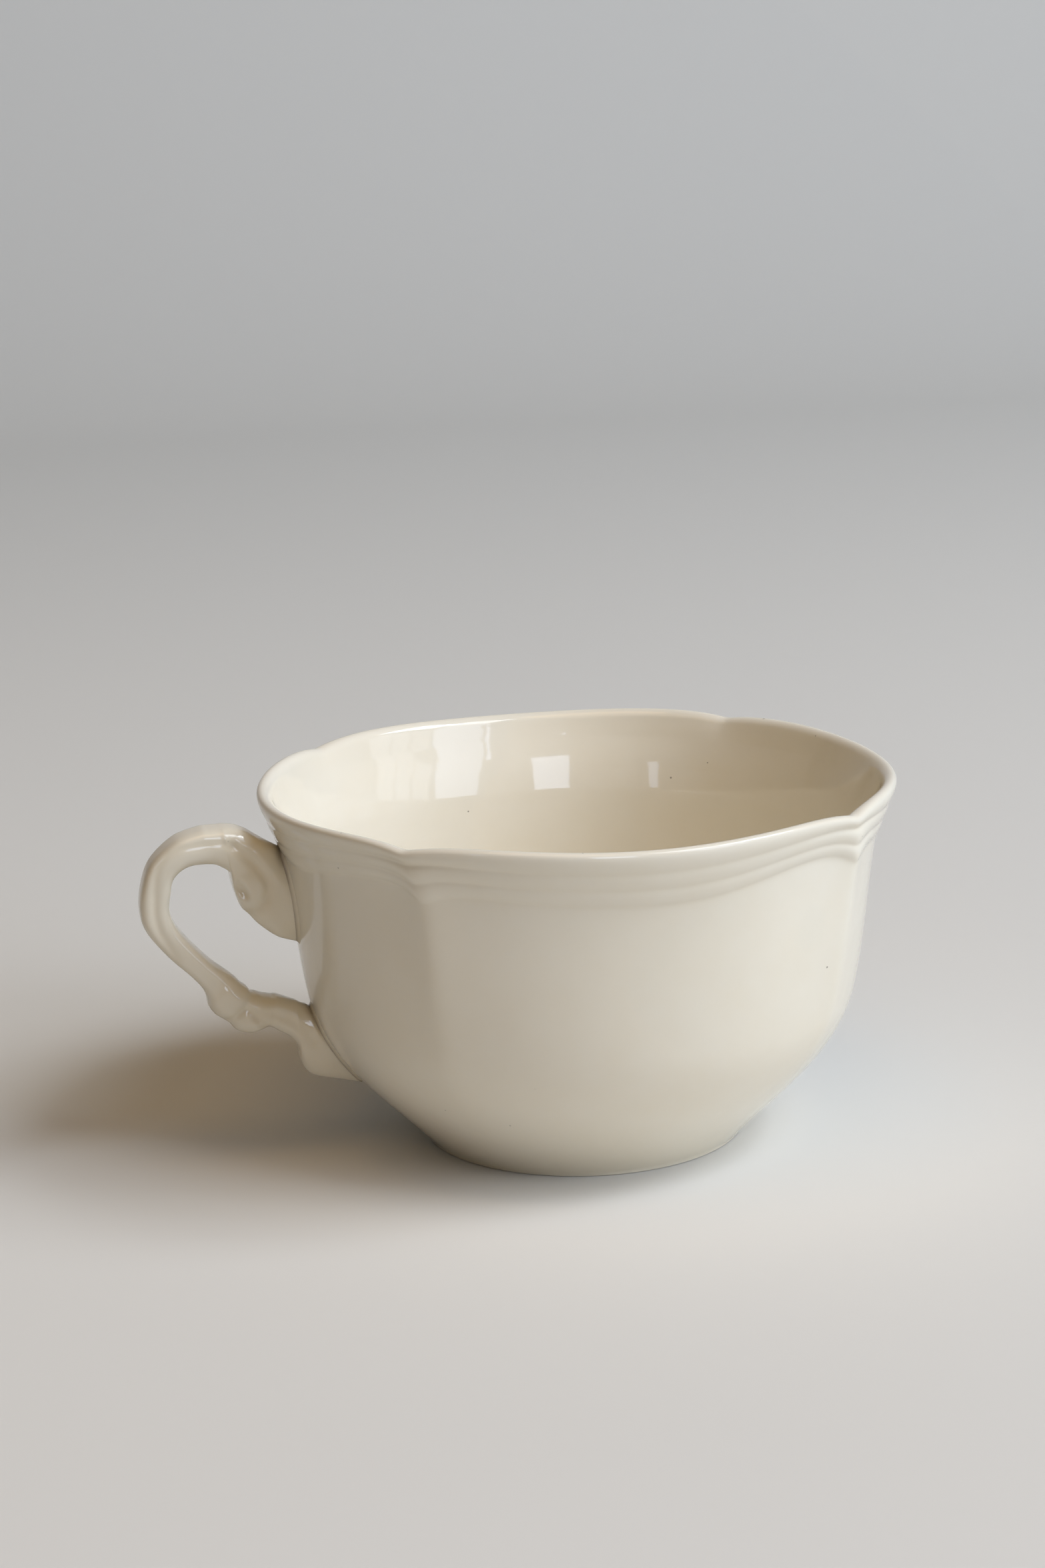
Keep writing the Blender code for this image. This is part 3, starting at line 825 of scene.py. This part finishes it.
def cut_depth(points):
    """How deep the grooves and the eye are pressed in at each point of the faces. The knob stands proud."""
    flat = np.stack((-points[:, 0], points[:, 2]), axis=1)
    depth = np.zeros(len(points))
    for line, width, deep in CUTS:
        depth += deep * np.exp(-(line_distance(flat, line) / width) ** 2)
    from_knob = np.linalg.norm(flat - np.array(KNOB), axis=1)
    depth -= KNOB_SWELL * np.clip(1 - (from_knob / KNOB_RADIUS) ** 2, 0, 1)
    from_eye = flat - np.array(EYE)
    lengthwise = from_eye @ np.array(EYE_ALONG)
    crosswise = from_eye @ np.array((-EYE_ALONG[1], EYE_ALONG[0]))
    hollow = 1 - (lengthwise / EYE_LENGTH) ** 2 - (crosswise / EYE_WIDTH) ** 2
    depth += EYE_DEPTH * np.clip(hollow, 0, 1) ** EYE_SHARPNESS
    return depth * np.clip(np.abs(points[:, 1]) / FACE_START, 0, 1) ** 2


def cut_faces(points):
    """The points of the handle, with the grooves and the eye pressed into both faces."""
    pressed = points.copy()
    pressed[:, 1] = np.sign(points[:, 1]) * np.maximum(np.abs(points[:, 1]) - cut_depth(points), 0)
    return pressed


def near_wall(points):
    """1 where the handle's upper edges meet the wall, falling to 0 a millimetre or two away."""
    line = plain_wall[::-1]
    gap = -points[:, 0] - np.interp(points[:, 2], line[:, 1], line[:, 0])
    close = np.exp(-((np.maximum(gap - STAIN_GAP, 0) / STAIN_REACH) ** 2))
    lower_top = np.clip((points[:, 2] - LOWER_STAIN) / STAIN_RISE, 0, 1) * (points[:, 2] < LOWER_STAIN_END)
    upper_top = np.clip((points[:, 2] - UPPER_STAIN) / STAIN_RISE, 0, 1)
    return close * (lower_top + upper_top)


def loft(name, start, rings, end):
    """A closed mesh through rings of points, with a single point at each end."""
    shape = bmesh.new()
    loops = [[shape.verts.new(point * MM + np.array((AXIS_X, 0, 0))) for point in ring] for ring in rings]
    tips = [shape.verts.new(point * MM + np.array((AXIS_X, 0, 0))) for point in (start, end)]
    around = len(rings[0])
    for one, two in zip(loops, loops[1:]):
        for i in range(around):
            j = (i + 1) % around
            shape.faces.new((one[i], one[j], two[j], two[i]))
    for tip, loop in zip(tips, (loops[0], loops[-1])):
        for i in range(around):
            shape.faces.new((tip, loop[i], loop[(i + 1) % around]))
    bmesh.ops.recalc_face_normals(shape, faces=shape.faces)
    mesh = bpy.data.meshes.new(name)
    shape.to_mesh(mesh)
    shape.free()
    mesh.shade_smooth()
    return mesh


upper_root = wall_oval(UPPER_ROOT, ROOT_OUT)
lower_root = wall_oval(LOWER_ROOT, ROOT_OUT)
stem = smooth_rings([upper_root] + [crossing(station) for station in SCROLL] + [lower_root], LENGTH_STEPS)
presses = [cut_depth(ring) for ring in stem]
stem = [cut_faces(ring) for ring in stem]
upper_cap, lower_cap = (
    [wall_oval(root, ROOT_OUT, 0.0, share) for share in CAP_SHARES] for root in (UPPER_ROOT, LOWER_ROOT)
)
handle_mesh = loft(
    "scroll_handle",
    on_wall(0.0, UPPER_ROOT[0], ROOT_OUT),
    upper_cap[::-1] + stem + lower_cap,
    on_wall(0.0, LOWER_ROOT[0], ROOT_OUT),
)
plain_cap = np.zeros(len(CAP_SHARES) * ROUND_STEPS)
tips = (0.0, 0.0)
# The grooves and the eye turn honey and the knob stays pale: partly pooled glaze, partly painted shade in
# the grooves and the eye.
pooled_and_painted_light = np.clip(np.concatenate(presses) / POOL_AND_SHADE_DEPTH, -1, 1)
stained = near_wall(np.concatenate(stem))
keep_marks(handle_mesh, "pooling_and_painted_light", np.concatenate((plain_cap, pooled_and_painted_light, plain_cap, tips)))
keep_marks(handle_mesh, "seam", np.concatenate((plain_cap, stained, plain_cap, tips)))
handle_glaze = glaze(
    "handle_cream_glaze",
    cream=(0.83, 0.78, 0.66),
    honey=(0.78, 0.71, 0.565),
    speck=SPECK,
    pooling_and_light_share=0.6,
    stain=(0.15, 0.10, 0.055),
    stain_share=0.75,
)
handle_mesh.materials.append(handle_glaze)
handle = bpy.data.objects.new("scroll_handle", handle_mesh)
bpy.context.scene.collection.objects.link(handle)
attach(handle, "root")
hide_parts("handle")

# Slip joints
# Liquid clay sticks each end of the handle to the wall before firing. It leaves a thin pad with a
# small hollow fillet round it, where glaze gathers and tea has stained the seam brown.

FILLET_ON_WALL = 0.75
FILLET_STEPS = 7
FILLET_CORNER = (0.25, 0.05)
PAD_BASE = -0.12
PAD_TOP = 0.45
PAD_SHARES = (0.3, 0.6, 0.85)
UNDER_HANDLE = 0.03

# The stain in the seam: where on the fillet it lies and how wide it is, how strong it is all round,
# and how much stronger and how far round it is at the seam's upper end and at its lower end.
SEAM_AT = 0.80
SEAM_WIDTH = 0.36
SEAM_SHARE = 0.65
UPPER_END = (0.35, 0.9)
LOWER_END = (0.4, 0.35)


def joint_mesh(name, root, handle_rings):
    """A thin pad on the wall, with a hollow fillet from the wall up to the handle."""
    foot = wall_oval(root, PAD_BASE, FILLET_ON_WALL)
    corner = wall_oval(root, *FILLET_CORNER)
    middle = handle_rings[-1].mean(axis=0)
    top = handle_rings[-1] + (middle - handle_rings[-1]) * UNDER_HANDLE
    rings = [wall_oval(root, PAD_BASE, FILLET_ON_WALL, share) for share in PAD_SHARES]
    seam = [0.0] * len(PAD_SHARES)
    for share in np.linspace(0, 1, FILLET_STEPS):
        rest = 1 - share
        rings.append(rest**2 * foot + 2 * rest * share * corner + share**2 * top)
        seam.append(math.exp(-((share - SEAM_AT) / SEAM_WIDTH) ** 2))
    rings += [wall_oval(root, PAD_TOP, 0.0, share) for share in PAD_SHARES[::-1]]
    seam += [0.0] * len(PAD_SHARES)
    mesh = loft(name, on_wall(0.0, root[0], PAD_BASE), rings, on_wall(0.0, root[0], PAD_TOP))
    from_top = np.abs(np.angle(np.exp(1j * (turns if root[1] > 0 else turns - math.pi))))
    at_upper_end = UPPER_END[0] * np.exp(-((from_top / UPPER_END[1]) ** 2))
    at_lower_end = LOWER_END[0] * np.exp(-(((math.pi - from_top) / LOWER_END[1]) ** 2))
    strength = np.minimum(SEAM_SHARE + at_upper_end + at_lower_end, 1)
    stained = (np.array(seam)[:, None] * strength).ravel()
    keep_marks(mesh, "seam", np.concatenate((stained, tips)))
    return mesh


for name, root, near_rings, node, slot in (
    ("upper_joint", UPPER_ROOT, stem[:3], "upper_slip_joint", "upper_slip"),
    ("lower_joint", LOWER_ROOT, stem[:-5:-1], "lower_slip_joint", "lower_slip"),
):
    mesh = joint_mesh(name, root, near_rings)
    mesh.materials.append(glaze(
        name + "_glaze",
        cream=(0.79, 0.735, 0.60),
        honey=(0.70, 0.61, 0.44),
        speck=SPECK,
        pooling_and_light_share=0.3,
        stain=(0.11, 0.07, 0.04),
        stain_share=0.92,
    ))
    joint = bpy.data.objects.new(name, mesh)
    bpy.context.scene.collection.objects.link(joint)
    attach(joint, "root")
    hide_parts(node)

# Studio
# A pale floor that sweeps up behind the cup, soft window panes on the right, small panes and a warm
# fill behind the viewer, two warm lights high above the handle's side, and the viewing point itself.

FLOOR_FRONT = 0.85
FLOOR_HALF_WIDTH = 2.2
SWEEP_START = 1.1
SWEEP_RADIUS = 0.5
BACKDROP_HEIGHT = 1.4
profile = [(-FLOOR_FRONT, 0.0), (SWEEP_START, 0.0)]
for turn in np.radians(np.arange(6, 91, 6)):
    profile.append((SWEEP_START + SWEEP_RADIUS * math.sin(turn), SWEEP_RADIUS * (1 - math.cos(turn))))
profile.append((profile[-1][0], BACKDROP_HEIGHT))
sweep = bpy.data.meshes.new("studio_floor")
corners = [(x, y, z) for y, z in profile for x in (-FLOOR_HALF_WIDTH, FLOOR_HALF_WIDTH)]
sweep.from_pydata(corners, [], [(2 * i, 2 * i + 1, 2 * i + 3, 2 * i + 2) for i in range(len(profile) - 1)])
sweep.shade_smooth()
paper = bpy.data.materials.new("studio_paper")
paper.use_nodes = True
paper.node_tree.nodes["Principled BSDF"].inputs["Base Color"].default_value = (0.735, 0.725, 0.695, 1.0)
paper.node_tree.nodes["Principled BSDF"].inputs["Roughness"].default_value = 0.85
sweep.materials.append(paper)
floor = bpy.data.objects.new("studio_floor", sweep)
bpy.context.scene.collection.objects.link(floor)


AIM_HEIGHT = 0.04


def pane(name, azimuth, low, high, wide, distance, power, colour):
    """A soft rectangular light that faces the cup, sized by the angles it fills as seen from there."""
    light = bpy.data.lights.new(name, "AREA")
    light.shape = "RECTANGLE"
    light.size = 2 * distance * math.tan(math.radians(wide / 2))
    light.size_y = 2 * distance * math.tan(math.radians((high - low) / 2))
    light.energy = power
    light.color = colour
    lamp = bpy.data.objects.new(name, light)
    turn, rise = math.radians(azimuth), math.radians((low + high) / 2)
    lamp.location = (
        AXIS_X + distance * math.sin(turn) * math.cos(rise),
        -distance * math.cos(turn) * math.cos(rise),
        AIM_HEIGHT + distance * math.sin(rise),
    )
    lamp.rotation_euler = (math.radians(90) - rise, 0.0, turn)
    bpy.context.scene.collection.objects.link(lamp)
    return lamp


# Each pane: where it stands round the cup, its lower and upper edge and its width in degrees, how far
# off it is, and its power and colour. Some are only seen in the glaze, and some only light the cup.
DAYLIGHT = (0.86, 0.92, 1.0)
SKY = (0.66, 0.78, 1.0)
SHINE = (0.44, 0.70, 1.0)
ROOM_LIGHT = (1.0, 0.64, 0.27)
WARM_FILL = (1.0, 0.75, 0.47)
WINDOW_DISTANCE = 2.4
ROOM_DISTANCE = 1.6
CEILING_DISTANCE = 1.3
pane("tall_pane", 39.3, 8, 45, 17.5, WINDOW_DISTANCE, 12.2, SKY)
pane("tall_shine", 39.3, 8, 45, 17.5, WINDOW_DISTANCE, 11.0, SHINE).visible_diffuse = False
pane("tall_top", 41, 46, 65, 16, WINDOW_DISTANCE, 11.6, DAYLIGHT)
for column in range(3):
    pane("side_pane_%d" % column, 55 + 9 * column, 8, 29, 7.6, WINDOW_DISTANCE, 1.1, DAYLIGHT)
    pane("side_top_%d" % column, 60 + 10 * column, 38, 58, 8.6, WINDOW_DISTANCE, 8.8, DAYLIGHT)
pane("side_fill", 56, 6, 36, 16, WINDOW_DISTANCE, 13.8, DAYLIGHT).visible_glossy = False
pane("narrow_pane", 26.6, 33, 38, 1.2, WINDOW_DISTANCE, 0.17, SKY)
pane("far_pane", 1.3, 10, 34, 14, ROOM_DISTANCE, 4.4, SKY).visible_diffuse = False
pane("far_fill", 1.3, 10, 34, 14, ROOM_DISTANCE, 1.8, WARM_FILL).visible_glossy = False
pane("small_pane", -43.8, 11, 22.5, 4.2, ROOM_DISTANCE, 0.42, SKY).visible_diffuse = False
pane("room_fill", -40, 45, 75, 40, CEILING_DISTANCE, 1.5, ROOM_LIGHT)
pane("ceiling_fill", -30, 70, 89, 30, CEILING_DISTANCE, 1.75, ROOM_LIGHT)

world = bpy.data.worlds.new("studio_air")
world.use_nodes = True
air = world.node_tree
dim = air.nodes["Background"]
dim.inputs["Color"].default_value = (1.0, 0.86, 0.7, 1.0)
dim.inputs["Strength"].default_value = 0.02
pale = air.nodes.new("ShaderNodeBackground")
pale.inputs["Color"].default_value = (1.0, 0.97, 0.93, 1.0)
pale.inputs["Strength"].default_value = 0.33
path = air.nodes.new("ShaderNodeLightPath")
seen = path.outputs["Is Camera Ray"]
for kind in ("Is Glossy Ray", "Is Transmission Ray"):
    either = air.nodes.new("ShaderNodeMath")
    either.operation = "MAXIMUM"
    air.links.new(seen, either.inputs[0])
    air.links.new(path.outputs[kind], either.inputs[1])
    seen = either.outputs[0]
choice = air.nodes.new("ShaderNodeMixShader")
air.links.new(seen, choice.inputs[0])
air.links.new(dim.outputs[0], choice.inputs[1])
air.links.new(pale.outputs[0], choice.inputs[2])
air.links.new(choice.outputs[0], air.nodes["World Output"].inputs["Surface"])
bpy.context.scene.world = world

lens = bpy.data.cameras.new("viewer")
lens.lens = 71.835
lens.sensor_width = 36.0
lens.clip_start = 0.01
viewer = bpy.data.objects.new("viewer", lens)
viewer.location = (-0.10650, -0.54417, 0.19611)
viewer.rotation_euler = [math.radians(a) for a in (76.7662, 1.5180, -11.5542)]
bpy.context.scene.collection.objects.link(viewer)
bpy.context.scene.camera = viewer
bpy.context.scene.view_settings.view_transform = "Standard"
